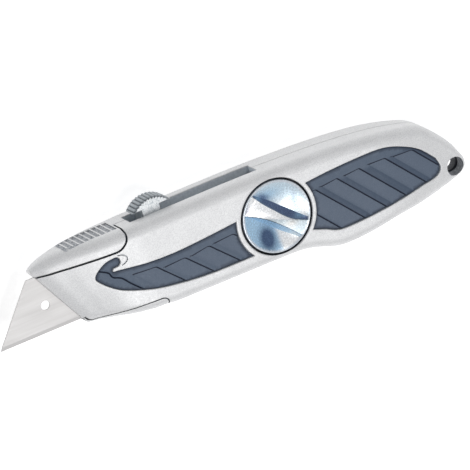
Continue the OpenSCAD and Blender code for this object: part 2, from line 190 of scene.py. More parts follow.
def section(s):
    """Top, bottom, half thickness and edge radius of one station."""
    t, b, h = top_y(s), low_y(s), side_z(s)
    return t, b, h, min(EDGE_R, 0.85 * h, 0.45 * (t - b))


def surface_z(x, y):
    """Height of the casing's near side above the joint."""
    t, b, h, r = section(station_of(x, y))
    over = max(y - (t - r), (b + r) - y, 0)
    return h - r + sqrt(max(r * r - over * over, 0))


# ---- outlines

def smooth(points, steps=8):
    """A smooth path through any points."""
    p = [Vector(q) for q in points]
    out = []
    for i in range(len(p) - 1):
        a, b, c, d = p[max(i - 1, 0)], p[i], p[i + 1], p[min(i + 2, len(p) - 1)]
        for k in range(steps):
            t = k / steps
            out.append(b + t * (c - a) / 2 + t * t * (2 * a - 5 * b + 4 * c - d) / 2
                       + t ** 3 * (3 * b - a - 3 * c + d) / 2)
    return out + [p[-1]]


def arc(centre, r, a0, a1, n=24):
    """Points round part of a circle, between two angles in degrees."""
    return [Vector(centre) + r * Vector((cos(radians(a0 + (a1 - a0) * i / n)),
                                         sin(radians(a0 + (a1 - a0) * i / n))))
            for i in range(n + 1)]


def signed_area(loop):
    return sum(a.x * b.y - b.x * a.y for a, b in zip(loop, loop[1:] + loop[:1])) / 2


def tidy(loop):
    """The loop anticlockwise, without repeated points."""
    shortest = 0.02
    out = []
    for p in loop:
        if not out or (p - out[-1]).length > shortest:
            out.append(p)
    if (out[0] - out[-1]).length <= shortest:
        out.pop()
    return out if signed_area(out) > 0 else out[::-1]


def grow(loop, d):
    """The loop moved outwards by d, or inwards if d is negative."""
    out = []
    for i, p in enumerate(loop):
        before = (p - loop[i - 1]).normalized()
        after = (loop[(i + 1) % len(loop)] - p).normalized()
        n0, n1 = Vector((before.y, -before.x)), Vector((after.y, -after.x))
        middle = n0 + n1
        middle = middle.normalized() if middle.length > 1e-6 else n0
        out.append(p + middle * d / max(middle.dot(n0), 0.5))
    return out


def resample(loop, step):
    """Extra points along the long sides of a loop."""
    out = []
    for a, b in zip(loop, loop[1:] + loop[:1]):
        n = max(1, round((b - a).length / step))
        out += [a.lerp(b, k / n) for k in range(n)]
    return out


def even(loop, step, inset):
    """The loop with evenly spaced points that leaves room at its corners for an inset."""
    n = len(loop)
    corner, spare = radians(35), 0.15

    def bend(i):
        before, after = loop[i] - loop[i - 1], loop[(i + 1) % n] - loop[i]
        return before.angle(after)

    corners = [i for i in range(n) if bend(i) > corner]
    out = []
    for a, b in zip(corners, corners[1:] + [corners[0] + n]):
        run = [loop[k % n] for k in range(a, b + 1)]
        start, stop = (inset * tan(bend(k % n) / 2) + spare for k in (a, b))
        length = sum((q - p).length for p, q in zip(run, run[1:])) - start - stop
        count = max(1, round(length / step))
        out.append(run[0])
        out += [point_along(run, start + length * k / count) for k in range(count + 1)]
    return out


def point_along(path, distance):
    for a, b in zip(path, path[1:]):
        d = (b - a).length
        if distance <= d:
            return a.lerp(b, distance / d)
        distance -= d
    return path[-1]


def front_grip_outline():
    knob_side = arc((0, 0), 14.2, 222, 165)
    lobe = smooth([(-54.7, 5.9), (-55, 7.4), (-56.4, 7.9), (-59.4, 7.3), (-62, 5.6),
                   (-63.5, 3.6), (-63, 1.8), (-59.2, -1.6), (-54.5, -4.1), (-45, -6.9),
                   (-35, -8.5), (-25, -9.3), (-11.2, -9.4)])
    upper = smooth([(-14, 3.6), (-25, 2.7), (-36, 2.1), (-46, 2.4), (-55.5, 3.4),
                    (-57.6, 3.6), (-57.5, 4.5), (-55.6, 4.9), (-54.7, 5.9)])
    return tidy(resample(lobe + knob_side + upper, 0.8))


def rear_grip_outline():
    knob_side = arc((0, 0), 14, 29, -39.5)
    lower = smooth([(15.2, -10.5), (20.3, -12.5), (30, -12.4), (40, -11.5), (50.7, -10.3),
                    (57.5, -9.6), (59.8, -7.4), (58.8, -3.8)])
    upper = smooth([(58.8, -3.8), (53.6, 1.6), (47, 5.4), (40, 7.6), (30, 7.8), (20, 7.4),
                    knob_side[0]])
    return tidy(resample(knob_side + lower + upper, 0.8))


def across(path, i):
    """The direction to the left of a path at its point i."""
    d = path[min(i + 1, len(path) - 1)] - path[max(i - 1, 0)]
    return Vector((-d.y, d.x)).normalized()


def beside(path, by):
    """The path moved to its left by a distance."""
    return [p + by * across(path, i) for i, p in enumerate(path)]


def ribbon(path, half):
    """A thin loop that follows a path."""
    return tidy(beside(path, -half) + beside(path, half)[::-1])


# The groove in the casing's side that the front grip hooks round.
HOOK_LINE = smooth([(-55.2, 8.3), (-53.6, 8.0), (-52.5, 7.1), (-52.3, 6.1), (-53.2, 5.2),
                    (-54.5, 4.75)], 5)
HOOK_HALF, HOOK_EDGE, HOOK_DEPTH = 0.17, 0.08, 0.35


def cap_outline(by=0.0):
    """The nose's cap seen from the side, grown by a gap."""
    y = CAP_Y - by
    bend = arc((CAP_X - CAP_R, CAP_Y + CAP_R), CAP_R + by, -90, 0, 16)
    return tidy(resample([Vector((CLEAR_X, CLEAR_Y)), Vector((CLEAR_X, y))] + bend
                         + [Vector((CAP_X + by, CLEAR_Y))], 1.0))


def lip_outline(by=0.0):
    """The nose's lower lip seen from the side, grown by a gap."""
    y, start_y = LIP_Y + by, LIP_START_Y + by
    return tidy(resample(
        [Vector((LIP_START_X, -CLEAR_Y)), Vector((LIP_START_X, start_y)), Vector((-69.2, start_y))]
        + arc((-66.6 + by, y + LIP_R), LIP_R, 200, 270, 8)
        + arc((LIP_X - LIP_R, LIP_Y - LIP_R), LIP_R + by, 90, 0, 12)
        + [Vector((LIP_X + by, -CLEAR_Y))], 1.0))


# ---- mesh helpers

def link(name, data):
    obj = bpy.data.objects.new(name, data)
    bpy.context.scene.collection.objects.link(obj)
    return obj


def new_object(name, verts, faces):
    mesh = bpy.data.meshes.new(name)
    mesh.from_pydata([place(v) for v in verts], [], faces)
    mesh.validate()
    return link(name, mesh)


def shade(obj, degrees):
    """Smooth shading, with edges sharper than the angle left sharp."""
    mesh = obj.data
    bm = bmesh.new()
    bm.from_mesh(mesh)
    bmesh.ops.recalc_face_normals(bm, faces=bm.faces)
    limit = radians(degrees)
    for f in bm.faces:
        f.smooth = True
    for e in bm.edges:
        e.smooth = len(e.link_faces) == 2 and e.calc_face_angle(0) < limit
    bm.to_mesh(mesh)
    bm.free()


def cap_faces(loop, first, flip):
    """Triangles that close a ring of vertices that starts at first."""
    n = len(loop)
    _, _, tris, origin, _, _ = delaunay_2d_cdt(loop, [(i, (i + 1) % n) for i in range(n)], [], 1, 1e-6)
    if len(origin) != n:
        raise ValueError("an outline crosses itself")
    step = -1 if flip else 1
    return [tuple(first + origin[i][0] for i in tri[::step]) for tri in tris]


def bands(rows, n):
    """Faces between rows of n vertices, each row a closed ring."""
    return [(k * n + i, k * n + (i + 1) % n, (k + 1) * n + (i + 1) % n, (k + 1) * n + i)
            for k in range(rows - 1) for i in range(n)]


def walls(rings):
    """Vertices and faces through rings of (loop, heights), lowest first, closed at the bottom."""
    verts = [(p.x, p.y, z) for loop, heights in rings for p, z in zip(loop, heights)]
    loop = rings[0][0]
    return verts, bands(len(rings), len(loop)) + cap_faces(loop, 0, True)


def stack(name, rings):
    """A closed solid through rings of (loop, heights), lowest first."""
    verts, faces = walls(rings)
    top = rings[-1][0]
    return new_object(name, verts, faces + cap_faces(top, len(verts) - len(top), False))


def spread(a, b, n):
    """n evenly spaced values from a up to, but without, b."""
    return [a + (b - a) * i / n for i in range(n)]


QUARTER = spread(0, 90, 4)[1:] + [90]


def rounding(r, angles=QUARTER):
    """For each angle round an edge of radius r: how far out from its wall, how far below its top."""
    return [(r * (1 - cos(radians(a))), r * (1 - sin(radians(a)))) for a in angles]


def flared(name, loop, flare, low=None, depth=0.0):
    """A cutter with upright walls that rolls outwards (or inwards) where it meets the side.

    It starts at the height low, or a depth below the side."""
    reach = abs(flare)

    def below(ring, by):
        return [surface_z(p.x, p.y) - by for p in ring]

    if low is None:
        rings = [(loop, below(loop, depth))]
    else:
        shaded = [max(z, (z + SHADE_DEPTH + low) / 2) for z in below(loop, SHADE_DEPTH)]
        rings = [(loop, [low] * len(loop)), (loop, shaded)]
    rings.append((loop, below(loop, reach)))
    for out, down in rounding(reach):
        ring = grow(loop, copysign(out, flare))
        rings.append((ring, below(ring, down)))
    ring = grow(loop, flare * 1.2)
    rings.append((ring, below(ring, -2.5)))
    return stack(name, rings)


def turned(name, profile, centre=(0, 0), segments=128):
    """A solid turned about an upright axis from (radius, height) points, bottom to top."""
    angles = [2 * pi * i / segments for i in range(segments)]
    verts = [(centre[0] + r * cos(a), centre[1] + r * sin(a), z)
             for r, z in profile for a in angles]
    faces = bands(len(profile), segments)
    faces.append(tuple(range(segments - 1, -1, -1)))
    faces.append(tuple(range(len(verts) - segments, len(verts))))
    return new_object(name, verts, faces)


def prism(name, loop, z0, z1):
    return stack(name, [(loop, [z0] * len(loop)), (loop, [z1] * len(loop))])


def block(name, lo, hi):
    loop = [Vector((lo[0], lo[1])), Vector((hi[0], lo[1])), Vector((hi[0], hi[1])),
            Vector((lo[0], hi[1]))]
    return prism(name, loop, lo[2], hi[2])


def flipped(obj):
    """Moves a solid to the other side of the joint."""
    for v in obj.data.vertices:
        v.co.z = 2 * ORIGIN.z - v.co.z
    obj.data.flip_normals()
    return obj


def mirrored(obj):
    """A copy of a solid on the other side of the joint."""
    return flipped(link(obj.name, obj.data.copy()))


def combine(target, operation, tools):
    """Applies booleans one after another and deletes the tools."""
    for tool in tools:
        modifier = target.modifiers.new("cut", "BOOLEAN")
        modifier.operation = operation
        modifier.solver = "MANIFOLD"
        modifier.object = tool
        graph = bpy.context.evaluated_depsgraph_get()
        result = bpy.data.meshes.new_from_object(target.evaluated_get(graph))
        target.modifiers.clear()
        old = target.data
        target.data = result
        bpy.data.meshes.remove(old)
    for tool in tools:
        bpy.data.objects.remove(tool)
    return target


# ---- casing halves

def stations():
    return (spread(-84, -60, 40) + spread(-60, 0, 50) + spread(0, 30, 36) + spread(30, 60, 36)
            + spread(60, 68, 16) + spread(68, 69.5, 8) + [69.5, 69.62, 69.72, 69.8, 69.86])


def casing_side(name, z0, bevel):
    """The near half of the casing as one closed solid that starts z0 above the joint."""
    rings = []
    for s in stations():
        t, b, h, r = section(s)
        top_bevel = bevel if s > CAP_X else SHARP
        low_bevel = bevel if s > LIP_X else SHARP
        margin = 0.02 * (t - b)
        knee = min(max(LEAN_Y, b + r + margin), t - r - margin)
        ring = [(t - top_bevel, z0), (t, z0 + top_bevel)]
        ring += [(t, z) for z in spread(z0 + top_bevel, h - r, 5)[1:]]
        ring += [(t - r + r * cos(a), h - r + r * sin(a))
                 for a in spread(0, pi / 2, 12)]
        ring += [(y, h) for y in spread(t - r, knee, 5) + spread(knee, b + r, 22)]
        ring += [(b + r - r * sin(a), h - r + r * cos(a))
                 for a in spread(0, pi / 2, 12) + [pi / 2]]
        ring += [(b, z) for z in spread(h - r, z0 + low_bevel, 5)[1:]]
        ring += [(b, z0 + low_bevel), (b + low_bevel, z0)]
        rings.append([(s + lean_at(s) * max(0, LEAN_Y - y), y, z) for y, z in ring])
    n = len(rings[0])
    verts = [p for ring in rings for p in ring]
    last = len(verts) - n
    faces = bands(len(rings), n)
    faces += [(0, i + 1, i) for i in range(1, n - 1)]
    faces += [(last, last + i, last + i + 1) for i in range(1, n - 1)]
    return new_object(name, verts, faces)


def front_waste():
    """What is cut away in front of the nose, round its beak and its lower corner."""
    beak = smooth([(-79.6, 13.9), (-81.2, 13.1), (-82.2, 12), (-82, 10.6), (-81, LEAN_Y)], 6)
    corner = smooth([(-69.2, -9.4), (-68.2, -11), (-66.8, -12.1), (-64.8, -12.7)], 6)
    loop = [Vector(p) for p in ((beak[0].x, CLEAR_Y), (CLEAR_X, CLEAR_Y), (CLEAR_X, -CLEAR_Y),
                                (corner[-1].x, -CLEAR_Y))]
    return prism("front_waste", tidy(loop + corner[::-1] + beak[::-1]), -HALF - 1, HALF + 1)


def on_edge(obj):
    """Turns a solid drawn in (x, -z) with its height along y into place."""
    for v in obj.data.vertices:
        x, y, z = (v.co - ORIGIN) / MM
        v.co = place((x, z, -y))
    return obj


def hollow():
    """The inside of the near half, between the joint and the wall."""
    front, back, margin, inner_top, top_limit = -57.3, 58.8, 2.2, 12.2, 12.9
    low = [front, -42, -39, 2] + [7 + 4 * i for i in range(13)] + [back]
    loop = [Vector((x, low_y(x) + margin)) for x in low]
    loop += [Vector((x, min(top_y(x), top_limit) - margin))
             for x in (back, 56, 52, 46, 40, 32, 24, 16, 8)]
    loop += [Vector((6, inner_top)), Vector((front, inner_top))]
    roof = [Vector((x, min(WALL - side_z(station_of(x, 0)), 0))) for x in spread(66, -84, 40) + [-84]]
    roof += [Vector((-84, 1)), Vector((66, 1))]
    body = prism("hollow", tidy(loop), -1, HALF)
    return combine(body, "INTERSECT", [on_edge(prism("roof", tidy(roof), -30, 30))])


def slot_cutter():
    """The slot in the casing's top, with softened upper edges."""
    x0, x1, half, flare = -46.0, -0.2, 3.3, 0.35
    loop = tidy([Vector(p) for p in ((x0, -half), (x1, -half), (x1, half), (x0, half))])
    loop = tidy(resample(loop, 2))
    rings = [(loop, [10.0] * len(loop)), (loop, [top_y(p.x) - flare for p in loop])]
    rings += [(grow(loop, out), [top_y(p.x) - down for p in loop]) for out, down in rounding(flare)]
    rings.append((grow(loop, flare * 1.2), [CLEAR_Y] * len(loop)))
    return on_edge(stack("slot", rings))


def lanyard_cutter(r):
    """The near half's lanyard hole, with a softened edge."""
    top, soft = side_z(BUTT.x), 0.5
    rolled = [(r + out, top - down) for out, down in rounding(soft, (0, 22, 45, 67, 90))]
    return turned("lanyard", [(r, -1), *rolled, (r + 1.2 * soft, top + 2)], BUTT, 64)


def serration_cutters():
    """A row of half-round notches across the top of the nose."""
    pitch, r, count, raised = 1.95, 0.78, 10, 0.15
    places = [NOTCH_FROM + r + pitch * i for i in range(count)]
    return [prism("serration", tidy(arc((x, top_y(x) + raised), r, 0, 360, 20)),
                  -NOTCH_REACH, NOTCH_REACH) for x in places]


def both_sides(cutter):
    """A cutter on the near side and its mirror image."""
    return [cutter, mirrored(cutter)]


def shared_cutters():
    """The cutters that both halves of the casing need."""
    pocket_edge, pocket_depth = 0.3, 1.4
    near_hole, far_hole = 3.0, 2.6
    return (both_sides(flared("front_pocket", FRONT_GRIP, pocket_edge, depth=pocket_depth))
            + both_sides(flared("rear_pocket", REAR_GRIP, pocket_edge, depth=pocket_depth))
            + both_sides(flared("hook_line", ribbon(HOOK_LINE, HOOK_HALF), HOOK_EDGE, depth=HOOK_DEPTH))
            + [lanyard_cutter(near_hole), flipped(lanyard_cutter(far_hole)), front_waste(),
               slot_cutter(), block("channel", (-90, -10.4, -0.45), (-56, 9.25, 0.45))])


def near_casing():
    body = casing_side("near_casing_skin", SEAM / 2, SEAM_BEVEL)
    ribs = [block(f"rib{x}", (x, -13, 0.45), (x + 1.4, 4, HALF)) for x in (-52, -26, -16)]
    seat_r, lip_r, stud_r = RECESS_R + 1.2, 0.4, 3.4
    seat = turned("seat", [(seat_r, INNER_Z), (seat_r, HALF + 1)])
    room = combine(hollow(), "DIFFERENCE", ribs + [seat])
    recess = [(RECESS_R, RECESS_Z), (RECESS_R, HALF - lip_r)]
    recess += [(RECESS_R + out, HALF - down) for out, down in rounding(lip_r)]
    recess += [(RECESS_R + lip_r + 0.05, HALF + 2)]
    cuts = [room, turned("recess", recess),
            turned("stud_hole", [(stud_r, -1), (stud_r, HALF)], segments=48),
            flared("cap_gap", cap_outline(CAP_GAP), SHUT_EDGE, low=-1),
            flared("lip_gap", lip_outline(LIP_GAP), SHUT_EDGE, low=-1)]
    combine(body, "DIFFERENCE", cuts + shared_cutters())
    shade(body, 32)
    return body


def far_casing():
    body = flipped(casing_side("far_casing_skin", SEAM / 2, SEAM_BEVEL))
    tongue = casing_side("far_tongue", -SEAM / 2 - 0.02, SHARP)
    cap = flared("cap", cap_outline(), -SHUT_EDGE, low=-SEAM)
    lip = flared("lip", lip_outline(), -SHUT_EDGE, low=-SEAM)
    combine(tongue, "INTERSECT", [combine(cap, "UNION", [lip])])
    combine(body, "UNION", [tongue])
    rail_z, boss_r, boss_top, insert_r, insert_depth = -3.98, 5.1, -2.6, 4.0, 4.4
    kept = [turned("boss", [(boss_r, -HALF - 1), (boss_r, boss_top)])]
    kept += [block(f"rail{y}", (-58, y, -HALF - 1), (-7, y + 1.5, rail_z)) for y in (-8, 2.5)]
    room = combine(flipped(hollow()), "DIFFERENCE", kept)
    cuts = [room, turned("insert_hole", [(insert_r, boss_top - insert_depth), (insert_r, 1)]),
            block("tongue_channel", (-73, 3.4, -1.9), (-56, 9.45, 0))]
    combine(body, "DIFFERENCE", cuts + shared_cutters() + serration_cutters())
    shade(body, 32)
    return body


# ---- reliefs

FINE_GAP = 0.1  # the least distance between two points of a relief
FINE_STEP, COARSE_STEP = 0.22, 0.3  # between points on the paths that reliefs follow


def inside(loop, p):
    """Whether a point lies within a loop."""
    hit = False
    for a, b in zip(loop, loop[1:] + loop[:1]):
        if (a.y > p.y) != (b.y > p.y) and p.x < a.x + (p.y - a.y) * (b.x - a.x) / (b.y - a.y):
            hit = not hit
    return hit


def relief(name, rings, height, lines, step, creases=()):
    """A closed solid: walls through rings, and a top filled with points that follow a height.

    rings are (loop, heights), lowest first. lines are paths that the top's points follow closely,
    and creases are paths that its edges follow exactly."""
    top = rings[-1][0]
    n = len(top)
    coarse_gap = 0.7 * step
    keep, edges, placed = [], [(i, (i + 1) % n) for i in range(n)], {}

    def free(p, gap):
        cx, cy = int(p.x // gap), int(p.y // gap)
        for ix in (cx - 1, cx, cx + 1):
            for iy in (cy - 1, cy, cy + 1):
                if any((q - p).length < gap for q in placed.get((gap, ix, iy), ())):
                    return False
        return True

    def put(p):
        keep.append(p)
        for gap in (FINE_GAP, coarse_gap):
            placed.setdefault((gap, int(p.x // gap), int(p.y // gap)), []).append(p)

    def follow(line, joined):
        last = None
        for p in line:
            if inside(top, p) and free(p, FINE_GAP):
                if joined and last is not None:
                    edges.append((last, len(keep)))
                last = len(keep)
                put(p)
            else:
                last = None

    for p in top:
        put(p)
    for line in creases:
        follow(line, True)
    for line in lines:
        follow(line, False)
    xs, ys = [p.x for p in top], [p.y for p in top]
    row = step * sqrt(3) / 2
    for j in range(int((max(ys) - min(ys)) / row) + 1):
        for i in range(int((max(xs) - min(xs)) / step) + 1):
            p = Vector((min(xs) + (i + 0.5 * (j % 2)) * step, min(ys) + j * row))
            if inside(top, p) and free(p, coarse_gap):
                keep.append(p)
    flat, _, tris, origin, _, _ = delaunay_2d_cdt(keep, edges, [], 1, 1e-6)
    if len(flat) != len(keep):
        raise ValueError(f"{name}: points meet")
    verts, faces = walls(rings)
    first = len(verts) - n
    verts += [(p.x, p.y, height(p)) for p in keep[n:]]
    for tri in tris:
        a, b, c = (origin[i][0] for i in tri)
        if (keep[b] - keep[a]).cross(keep[c] - keep[a]) < 0:
            b, c = c, b
        faces.append((first + a, first + b, first + c))
    return new_object(name, verts, faces)


# ---- grips

PAD_DEPTH, PAD_RUN = 0.55, 22.0
STEP_W, LINE_FADE = 0.34, 0.12  # the steep edge of a pad, and how fast its painted shade line fades


class Pad:
    """A ramp cut into a grip: shallow at its left edge and deep at its right edge.

    left and right are its top corners, run is the direction of its sides, and corner is the
    radius of its right corner."""

    def __init__(self, left, right, run, corner):
        self.left, self.right = Vector(left), Vector(right)
        self.across = (self.right - self.left).normalized()
        self.down = Vector(run).normalized()
        self.top_normal = Vector((self.across.y, -self.across.x))
        self.side_normal = Vector((self.down.y, -self.down.x))
        self.width = (self.left - self.right).dot(self.side_normal)
        self.corner = corner
        d1, d2 = self.top_normal, self.side_normal
        c = d1.x * d2.y - d1.y * d2.x
        self.centre = self.right + Vector((d2.y - d1.y, d1.x - d2.x)) * corner / c

    def inset(self, p):
        """How far a point lies within the pad's top and right edges."""
        q = p - self.right
        away = p - self.centre
        if away.dot(self.across) > 0 and away.dot(self.down) < 0:
            return self.corner - away.length
        return min(q.dot(self.top_normal), q.dot(self.side_normal))

    def from_left(self, p):
        return -(p - self.left).dot(self.side_normal)

    def depth(self, p):
        u = self.from_left(p)
        if u <= 0 or self.inset(p) <= 0:
            return 0.0
        ramp = 0.25 + 0.75 * min(u / self.width, 1)
        return PAD_DEPTH * ramp * eased(self.inset(p) / STEP_W) * eased(u / STEP_W)

    def line(self, p):
        """1 on the painted shade line along the pad's steep edge, fading to 0 on both sides of it."""
        if self.from_left(p) < 0:
            return 0.0
        return max(0.0, 1 - max(abs(self.inset(p) - STEP_W / 2) - STEP_W / 2, 0) / LINE_FADE)

    def paths(self):
        """Points along both sides of the pad's edges, for the mesh to follow."""
        out = []
        for inset in (-LINE_FADE, 0.0, STEP_W, STEP_W + LINE_FADE):
            start = self.left + self.top_normal * inset
            corner = self.corner - inset
            bend = [self.centre - d * corner for d in turn(self.top_normal, self.side_normal, 8)]
            out.append(dotted([start] + bend + [bend[-1] + self.down * PAD_RUN], FINE_STEP))
        for inset in (0.0, STEP_W):
            start = self.left - self.side_normal * inset
            out.append(dotted([start, start + self.down * PAD_RUN], COARSE_STEP))
        return out


def eased(t):
    t = min(max(t, 0), 1)
    return t * t * (3 - 2 * t)


def turn(a, b, n):
    """Directions from a to b, through the angle between them."""
    return [a.lerp(b, i / n).normalized() for i in range(n + 1)]


def dotted(path, step):
    """Points along a path, a step apart."""
    out = []
    for a, b in zip(path, path[1:]):
        n = max(1, round((b - a).length / step))
        out += [a.lerp(b, k / n) for k in range(n)]
    return out + [path[-1]]


def offset_to(path, p):
    """The shortest vector from a point to a path."""
    best = Vector((1e9, 0))
    for a, b in zip(path, path[1:]):
        d = b - a
        t = min(max((p - a).dot(d) / d.length_squared, 0), 1)
        best = min(best, a + d * t - p, key=lambda q: q.length_squared)
    return best


def nearest(path, p):
    """Distance from a point to a path."""
    return offset_to(path, p).length


FRONT_GRIP = front_grip_outline()
REAR_GRIP = rear_grip_outline()
FRONT_RUN, REAR_RUN = (8, -7.7), (14, -15.3)
FRONT_PADS = [Pad(*ends, FRONT_RUN, 1.8) for ends in (
    ((-52.2, 0.6), (-43.6, 0.1)), ((-41.3, -1.1), (-33.4, -0.8)),
    ((-31.3, -1.1), (-24.6, -0.2)), ((-22.9, -0.1), (-15.6, 0.3)))]
REAR_PADS = [Pad(*ends, REAR_RUN, corner) for *ends, corner in (
    ((6.5, 3.3), (15.2, 3.3), 0.8), ((17.1, 3.6), (23.2, 4.1), 0.8),
    ((25.5, 4.0), (31.4, 4.3), 0.8), ((34.3, 4.4), (40.8, 4.1), 1.6),
    ((43.3, 3.5), (51.2, 2.6), 2.2), ((4.0, -4.1), (13.1, -4.1), 0.6))]
GROOVE = smooth([(-62.4, 5.3), (-59.3, 3.7), (-58.2, 1.8), (-55.5, 0.5), (-52.8, -2.4),
                 (-48.3, -6.6)], 5)
GROOVE_W, GROOVE_DEPTH = 0.16, 0.4
RIM_PAINTED_SHADE = 0.65  # how dark the painted shade on the grips' rounded rims is


def grip(name, outline, pads, groove, band_below):
    """A rubber grip with ramped pads and, at the front, a groove.

    Its shade_and_tone attribute holds painted shade on the pad edges, rims and groove, the darker band
    below a height, and the pads."""
    round_r, floor, step, fit = 0.35, 1.3, 0.75, 0.12

    def depth(p):
        cut = max(pad.depth(p) for pad in pads)
        if groove:
            cut = max(cut, GROOVE_DEPTH * (1 - min(nearest(groove, p) / (2 * GROOVE_W), 1)))
        return cut

    def height(p):
        return surface_z(p.x, p.y) - GRIP_SUNK - depth(p)

    wall = grow(even(outline, 0.4, 0.5), -fit)
    rings = [(wall, [surface_z(p.x, p.y) - floor for p in wall])]
    for back, down in rounding(round_r, (0, 30, 60, 90)):
        loop = grow(wall, -back)
        rings.append((loop, [height(p) - down for p in loop]))
    lines = [path for pad in pads for path in pad.paths()]
    if groove:
        offsets = [side * by for side in (-1, 1) for by in (GROOVE_W, 2 * GROOVE_W)]
        lines += [dotted(beside(groove, by), FINE_STEP) for by in [0.0] + offsets]
    obj = relief(name, rings, height, lines, step)
    shade_and_tone = obj.data.attributes.new("shade_and_tone", "FLOAT_COLOR", "POINT")
    for i, v in enumerate(obj.data.vertices):
        x, y, _ = (v.co - ORIGIN) / MM
        p = Vector((x, y))
        # painted shade: dark lines on the pads' steep edges, the grip's rims and the groove
        edge = max(pad.line(p) for pad in pads)
        if i < len(rings) * len(wall):
            edge = max(edge, RIM_PAINTED_SHADE)
        if groove:
            edge = max(edge, min(2 - nearest(groove, p) / GROOVE_W, 1))
        in_pad = max(eased(pad.depth(p) / 0.12) for pad in pads)
        band = (1 - in_pad) * eased((band_below - y) / 1.5)
        shade_and_tone.data[i].color = (edge, band, in_pad, 1)
    shade(obj, 50)
    return obj


# ---- clamp knob

KNOB_R, KNOB_BASE, KNOB_RIM, RIM_EDGE = 11.9, 6.1, 9.45, 0.32
# BAR_LINE is the width of the painted shade line along each edge of the bar.
BAR_EDGE, BAR_RIDGE, BAR_LINE = 9.25, 9.58, 0.26
SCOOP_DEPTH, SCOOP_HALF = 2.3, 11.5
BAR_UPPER = smooth([(-8.6, 13), (-6.6, 10), (-3.4, 5.8), (0, 2.2), (3.6, -1.4), (7.4, -3.8),
                    (12.4, -5.8)], 6)
BAR_LOWER = smooth([(-12.4, 4.7), (-7, 2.2), (-3.4, 0), (0, -2.8), (3, -5.6), (8.2, -11),
                    (9.5, -12.6)], 6)
BAR_TOP = smooth([(-11.8, 4.5), (-6, 1.7), (0, -1), (6, -3.5), (11.8, -5.6)], 6)
WALL_UPPER = smooth([(-7.4, 10.8), (-4, 8), (0, 4.9), (5, 0.4), (8.6, -2.7), (12, -5.4)], 6)
WALL_LOWER = [-p for p in WALL_UPPER[::-1]]
BAR_ALONG = Vector((0.8, -0.6))


def path_y(path, x):
    """Height, at x, of a path that runs left to right."""
    a, b = next((pair for pair in zip(path, path[1:]) if x < pair[1].x), path[-2:])
    return a.y + (b.y - a.y) * (x - a.x) / (b.x - a.x)


def knob_zone(p):
    """Where a point of the knob's face lies: bar, wall or scoop, and above or below the bar."""
    if p.y > path_y(BAR_UPPER, p.x):
        return ("scoop" if p.y > path_y(WALL_UPPER, p.x) else "wall"), 1
    if p.y < path_y(BAR_LOWER, p.x):
        return ("scoop" if p.y < path_y(WALL_LOWER, p.x) else "wall"), -1
    return "bar", 0


def between(a, b, d_a, d_b):
    """From a to b, by the distances to each."""
    return a + (b - a) * d_a / (d_a + d_b + 1e-6)


def knob_height(p):
    """Height of the knob's face: a ridged bar between two scoops with steep walls."""
    zone, side = knob_zone(p)
    if zone == "bar":
        d_edge = min(nearest(BAR_UPPER, p), nearest(BAR_LOWER, p))
        z = between(BAR_EDGE, BAR_RIDGE, d_edge, nearest(BAR_TOP, p))
        return z - 0.3 * max(p.length - 9.6, 0) if p.x < 0 else z
    floor = KNOB_RIM - SCOOP_DEPTH * (1 - min(abs(p.dot(BAR_ALONG)) / SCOOP_HALF, 1) ** 2)
    edge, foot = (BAR_UPPER, WALL_UPPER) if side > 0 else (BAR_LOWER, WALL_LOWER)
    d_foot = nearest(foot, p)
    if zone == "wall":
        return between(BAR_EDGE, floor, nearest(edge, p), d_foot)
    d_rim = max(KNOB_R - 0.5 - p.length, 0)
    return KNOB_RIM + (floor - KNOB_RIM) * between(0, 1, d_rim, d_foot) ** 0.7


def painted_knob_light(p):
    """Painted reflections and painted shade on the bright zinc plate: its blue, grey and white patches.
    """
    zone, side = knob_zone(p)
    sky, pale, white = (0.46, 0.68, 0.88), (0.74, 0.87, 0.95), (0.95, 0.96, 0.97)
    navy, shadow, rim_shade = (0.05, 0.09, 0.19), (0.1, 0.16, 0.3), (0.2, 0.26, 0.4)

    def mix(a, b, t):
        t = min(max(t, 0), 1)
        return tuple(x + (y - x) * t for x, y in zip(a, b))

    def spot(x, y, rx, ry, tilt=0.0):
        q = Vector((p.x - x, p.y - y))
        q.rotate(Matrix.Rotation(radians(-tilt), 2))
        return exp(-(q.x / rx) ** 2 - (q.y / ry) ** 2)

    if zone == "bar":
        # painted shade: dark lines along the bar's edges
        if min(nearest(BAR_UPPER, p), nearest(BAR_LOWER, p)) < BAR_LINE:
            return 0.12, 0.18, 0.25
        # painted highlight on the bar's upper facet, painted reflection on its lower facet
        if p.y > path_y(BAR_TOP, p.x):
            return mix(white, (0.6, 0.6, 0.68), spot(6.5, -2.6, 3, 1.2) + spot(-9.2, 5.6, 1.0, 2.2))
        return mix((0.62, 0.71, 0.76), (0.72, 0.72, 0.7), spot(4, -4, 2.5, 1.5))
    # painted shade on the upper wall, painted reflection on the lower wall
    if zone == "wall" and side > 0:
        return mix((0.09, 0.13, 0.24), (0.2, 0.34, 0.5), spot(8, -2.6, 2, 1) + spot(-4, 8, 3, 1))
    if zone == "wall":
        return mix((0.4, 0.62, 0.84), pale, spot(5, -8, 3, 2))
    # painted reflections in the scoops, with painted shadows and painted highlights
    if side > 0:
        c = mix(pale, sky, spot(-2, 7.5, 6, 2.5))
        c = mix(c, shadow, 0.95 * spot(-2.4, 7.2, 2.8, 1.1, -38))
        c = mix(c, white, 0.6 * spot(3.5, 2.8, 2.6, 1.3, -38) + spot(9.5, -2.0, 1.5, 2.5))
        return mix(c, rim_shade, 0.5 * spot(7.6, 2.6, 1.1, 3.4))
    c = mix(sky, (1.0, 1.0, 1.0), eased((p.x + 1.8) / 2.4))
    return mix(c, navy, min(1.5 * spot(-4.4, -6.2, 2.7, 3.6), 0.95))


